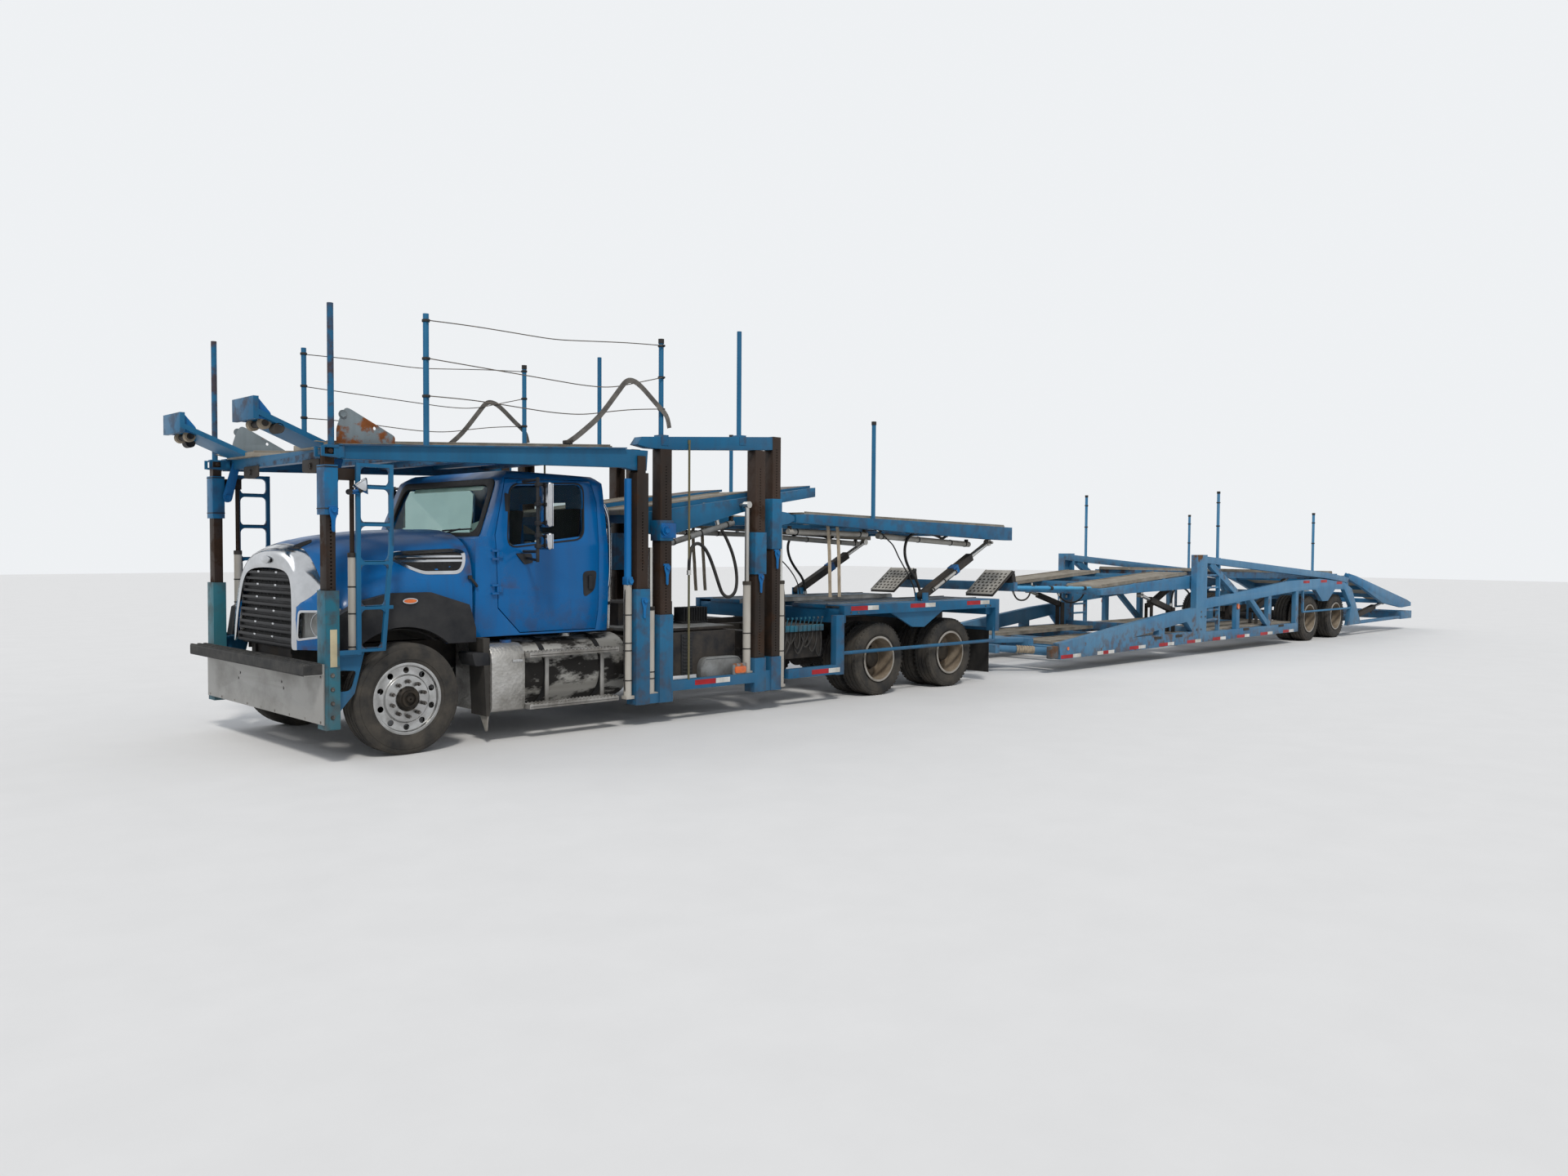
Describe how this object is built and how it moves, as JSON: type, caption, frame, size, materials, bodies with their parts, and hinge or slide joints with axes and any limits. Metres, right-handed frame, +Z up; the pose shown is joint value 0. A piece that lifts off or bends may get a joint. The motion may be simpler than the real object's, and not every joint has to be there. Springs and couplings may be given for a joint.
{
  "type": "car transporter truck",
  "caption": "Articulated car transporter: a day-cab tractor with a head rack and tilting decks, and a low trailer with car decks and a rear ramp, turning on a stinger pivot.",
  "frame": {"origin": "on the ground under the middle of the vehicle's length and width", "axes": "+X forward along the vehicle, +Y to its left, +Z up"},
  "size_m": [24.35, 2.88, 3.87],
  "materials": {
    "cab_paint": "gloss",
    "rack_paint": "weathered satin",
    "trailer_paint": "weathered satin, rust in patches",
    "tread_steel": "worn",
    "black_plastic": "matte",
    "chrome": "polished",
    "aluminium": "dulled polish",
    "black_steel": "dusty satin",
    "cylinder_paint": "satin",
    "rod_steel": "smooth",
    "dual_wheel": "dusty",
    "flap_rubber": "matte"
  },
  "bodies": {
    "root": {"axles": "black_steel", "tractor_frame": "black_steel", "engine": "black_steel", "cab_shell": "cab_paint", "cab_interior": "black_plastic", "front_bumper": "rack_paint", "front_posts": "rack_paint", "lift_barrels": "cylinder_paint", "rack_posts": "rack_paint", "post_sockets": "rack_paint", "top_rails": "rack_paint", "tandem_deck": "rack_paint", "mud_flaps": "flap_rubber", "fuel_tanks": "aluminium", "machinery": "rod_steel"},
    "hood": {"hood": "cab_paint", "grille_and_lamps": "chrome", "fender_flares": "black_plastic"},
    "door_left": {"door_left": "cab_paint"},
    "door_right": {"door_right": "cab_paint"},
    "knuckle_left": {"knuckle_left": "black_steel"},
    "knuckle_right": {"knuckle_right": "black_steel"},
    "head_rack": {"head_rack": "rack_paint"},
    "front_lift": {"front_lift_posts": "rack_paint"},
    "mid_deck": {"mid_deck": "rack_paint"},
    "mid_lift_rods": {"mid_lift_rods": "rod_steel"},
    "rear_deck": {"rear_deck": "rack_paint"},
    "rear_leg_barrels": {"rear_leg_barrels": "cylinder_paint"},
    "rear_leg_rods": {"rear_leg_rods": "rod_steel"},
    "trailer": {"trailer_sides": "trailer_paint", "trailer_frame": "trailer_paint", "trailer_spine": "trailer_paint", "trailer_treads": "tread_steel", "trailer_axles": "black_steel", "deck_brackets": "black_steel", "ramp_brackets": "black_steel"},
    "front_wheel_left": {"front_wheel_left": "aluminium"},
    "front_wheel_right": {"front_wheel_right": "aluminium"},
    "drive_front_wheel_left": {"drive_front_wheel_left": "dual_wheel"},
    "drive_front_wheel_right": {"drive_front_wheel_right": "dual_wheel"},
    "drive_rear_wheel_left": {"drive_rear_wheel_left": "dual_wheel"},
    "drive_rear_wheel_right": {"drive_rear_wheel_right": "dual_wheel"},
    "trailer_front_wheel_left": {"trailer_front_wheel_left": "dual_wheel"},
    "trailer_front_wheel_right": {"trailer_front_wheel_right": "dual_wheel"},
    "trailer_rear_wheel_left": {"trailer_rear_wheel_left": "dual_wheel"},
    "trailer_rear_wheel_right": {"trailer_rear_wheel_right": "dual_wheel"},
    "trailer_front_deck": {"trailer_front_deck": "trailer_paint"},
    "front_deck_barrels": {"front_deck_barrels": "cylinder_paint"},
    "front_deck_rods": {"front_deck_rods": "rod_steel"},
    "trailer_back_deck": {"trailer_back_deck": "trailer_paint"},
    "back_deck_barrels": {"back_deck_barrels": "cylinder_paint"},
    "back_deck_rods": {"back_deck_rods": "rod_steel"},
    "rear_ramp": {"rear_ramp": "trailer_paint"},
    "ramp_barrels": {"ramp_barrels": "cylinder_paint"},
    "ramp_rods": {"ramp_rods": "rod_steel"}
  },
  "joints": [
    {"name": "steer_left", "type": "hinge", "parent": "root", "child": "knuckle_left", "pos_m": [11.025, 0.87, 0.455], "axis": [0, 0, 1], "range_deg": [-35, 35]},
    {"name": "steer_right", "type": "hinge", "parent": "root", "child": "knuckle_right", "pos_m": [11.025, -0.87, 0.455], "axis": [0, 0, 1], "range_deg": [-35, 35]},
    {"name": "front_wheel_left_spin", "type": "hinge", "parent": "knuckle_left", "child": "front_wheel_left", "pos_m": [11.025, 1.045, 0.455], "axis": [0, 1, 0], "continuous": true},
    {"name": "front_wheel_right_spin", "type": "hinge", "parent": "knuckle_right", "child": "front_wheel_right", "pos_m": [11.025, -1.045, 0.455], "axis": [0, 1, 0], "continuous": true},
    {"name": "drive_front_wheel_left_spin", "type": "hinge", "parent": "root", "child": "drive_front_wheel_left", "pos_m": [5.235, 0.915, 0.42], "axis": [0, 1, 0], "continuous": true},
    {"name": "drive_rear_wheel_left_spin", "type": "hinge", "parent": "root", "child": "drive_rear_wheel_left", "pos_m": [3.915, 0.915, 0.42], "axis": [0, 1, 0], "continuous": true},
    {"name": "drive_front_wheel_right_spin", "type": "hinge", "parent": "root", "child": "drive_front_wheel_right", "pos_m": [5.235, -0.915, 0.42], "axis": [0, 1, 0], "continuous": true},
    {"name": "drive_rear_wheel_right_spin", "type": "hinge", "parent": "root", "child": "drive_rear_wheel_right", "pos_m": [3.915, -0.915, 0.42], "axis": [0, 1, 0], "continuous": true},
    {"name": "hood_tilt", "type": "hinge", "parent": "root", "child": "hood", "pos_m": [11.653, 0, 0.83], "axis": [0, 1, 0], "range_deg": [0, 28]},
    {"name": "door_left_hinge", "type": "hinge", "parent": "root", "child": "door_left", "pos_m": [10.125, 1.046, 1.47], "axis": [0, 0, -1], "range_deg": [0, 65]},
    {"name": "door_right_hinge", "type": "hinge", "parent": "root", "child": "door_right", "pos_m": [10.125, -1.046, 1.47], "axis": [0, 0, 1], "range_deg": [0, 65]},
    {"name": "head_rack_tilt", "type": "hinge", "parent": "root", "child": "head_rack", "pos_m": [8.725, 0, 2.49], "axis": [0, -1, 0], "range_deg": [0, 8]},
    {"name": "front_lift_slide", "type": "slide", "parent": "root", "child": "front_lift", "axis": [0, 0, 1], "range_m": [0, 0.41392]},
    {"name": "mid_deck_tilt", "type": "hinge", "parent": "root", "child": "mid_deck", "pos_m": [8.425, 0, 1.86], "axis": [0, 1, 0], "range_deg": [-2, 8]},
    {"name": "mid_lift_slide", "type": "slide", "parent": "root", "child": "mid_lift_rods", "axis": [0, 0, 1], "range_m": [-0.03775, 0.15041]},
    {"name": "rear_deck_tilt", "type": "hinge", "parent": "root", "child": "rear_deck", "pos_m": [6.775, 0, 2], "axis": [0, 1, 0], "range_deg": [-4.5, 9]},
    {"name": "rear_leg_swing", "type": "hinge", "parent": "root", "child": "rear_leg_barrels", "pos_m": [4.335, 0, 1.125], "axis": [0, 1, 0], "range_deg": [-9.17, 18.32]},
    {"name": "rear_leg_slide", "type": "slide", "parent": "rear_leg_barrels", "child": "rear_leg_rods", "axis": [-0.8985, 0, 0.439], "range_m": [-0.15888, 0.31756]},
    {"name": "trailer_pivot", "type": "hinge", "parent": "root", "child": "trailer", "pos_m": [2.575, 0, 0.411], "axis": [0, 0, 1], "range_deg": [-45, 45]},
    {"name": "trailer_front_deck_tilt", "type": "hinge", "parent": "trailer", "child": "trailer_front_deck", "pos_m": [-2.455, 0, 1.13], "axis": [0, -1, 0], "range_deg": [0, 5]},
    {"name": "front_deck_cylinder_swing", "type": "hinge", "parent": "trailer", "child": "front_deck_barrels", "pos_m": [-1.935, 0, 0.745], "axis": [0, -1, 0], "range_deg": [0, 6.9]},
    {"name": "front_deck_cylinder_slide", "type": "slide", "parent": "front_deck_barrels", "child": "front_deck_rods", "axis": [0.9665, 0, 0.2567], "range_m": [0, 0.04587]},
    {"name": "trailer_back_deck_tilt", "type": "hinge", "parent": "trailer", "child": "trailer_back_deck", "pos_m": [-8.225, 0, 1.18], "axis": [0, -1, 0], "range_deg": [0, 5]},
    {"name": "back_deck_cylinder_swing", "type": "hinge", "parent": "trailer", "child": "back_deck_barrels", "pos_m": [-4.945, 0, 0.64], "axis": [0, 1, 0], "range_deg": [0, 6.28]},
    {"name": "back_deck_cylinder_slide", "type": "slide", "parent": "back_deck_barrels", "child": "back_deck_rods", "axis": [-0.925, 0, 0.38], "range_m": [0, 0.07723]},
    {"name": "rear_ramp_tilt", "type": "hinge", "parent": "trailer", "child": "rear_ramp", "pos_m": [-8.625, 0, 1.2], "axis": [0, 1, 0], "range_deg": [0, 9]},
    {"name": "ramp_cylinder_swing", "type": "hinge", "parent": "trailer", "child": "ramp_barrels", "pos_m": [-9.315, 0, 0.36], "axis": [0, 1, 0], "range_deg": [0, 11.66]},
    {"name": "ramp_cylinder_slide", "type": "slide", "parent": "ramp_barrels", "child": "ramp_rods", "axis": [-0.9884, 0, 0.1521], "range_m": [0, 0.15325]},
    {"name": "trailer_front_wheel_left_spin", "type": "hinge", "parent": "trailer", "child": "trailer_front_wheel_left", "pos_m": [-6.965, 0.915, 0.42], "axis": [0, 1, 0], "continuous": true},
    {"name": "trailer_rear_wheel_left_spin", "type": "hinge", "parent": "trailer", "child": "trailer_rear_wheel_left", "pos_m": [-8.215, 0.915, 0.42], "axis": [0, 1, 0], "continuous": true},
    {"name": "trailer_front_wheel_right_spin", "type": "hinge", "parent": "trailer", "child": "trailer_front_wheel_right", "pos_m": [-6.965, -0.915, 0.42], "axis": [0, 1, 0], "continuous": true},
    {"name": "trailer_rear_wheel_right_spin", "type": "hinge", "parent": "trailer", "child": "trailer_rear_wheel_right", "pos_m": [-8.215, -0.915, 0.42], "axis": [0, 1, 0], "continuous": true}
  ],
  "couplings": [
    {"joint": "steer_right", "follows": "steer_left", "ratio": 1},
    {"joint": "front_lift_slide", "follows": "head_rack_tilt", "m_per_rad": 2.9631},
    {"joint": "mid_lift_slide", "follows": "mid_deck_tilt", "m_per_rad": 1.0758},
    {"joint": "rear_leg_swing", "follows": "rear_deck_tilt", "ratio": 2.0339},
    {"joint": "rear_leg_slide", "follows": "rear_deck_tilt", "m_per_rad": 2.0204},
    {"joint": "front_deck_cylinder_swing", "follows": "trailer_front_deck_tilt", "ratio": 1.3762},
    {"joint": "front_deck_cylinder_slide", "follows": "trailer_front_deck_tilt", "m_per_rad": 0.52335},
    {"joint": "back_deck_cylinder_swing", "follows": "trailer_back_deck_tilt", "ratio": 1.2526},
    {"joint": "back_deck_cylinder_slide", "follows": "trailer_back_deck_tilt", "m_per_rad": 0.88264},
    {"joint": "ramp_cylinder_swing", "follows": "rear_ramp_tilt", "ratio": 1.2937},
    {"joint": "ramp_cylinder_slide", "follows": "rear_ramp_tilt", "m_per_rad": 0.97433}
  ]
}
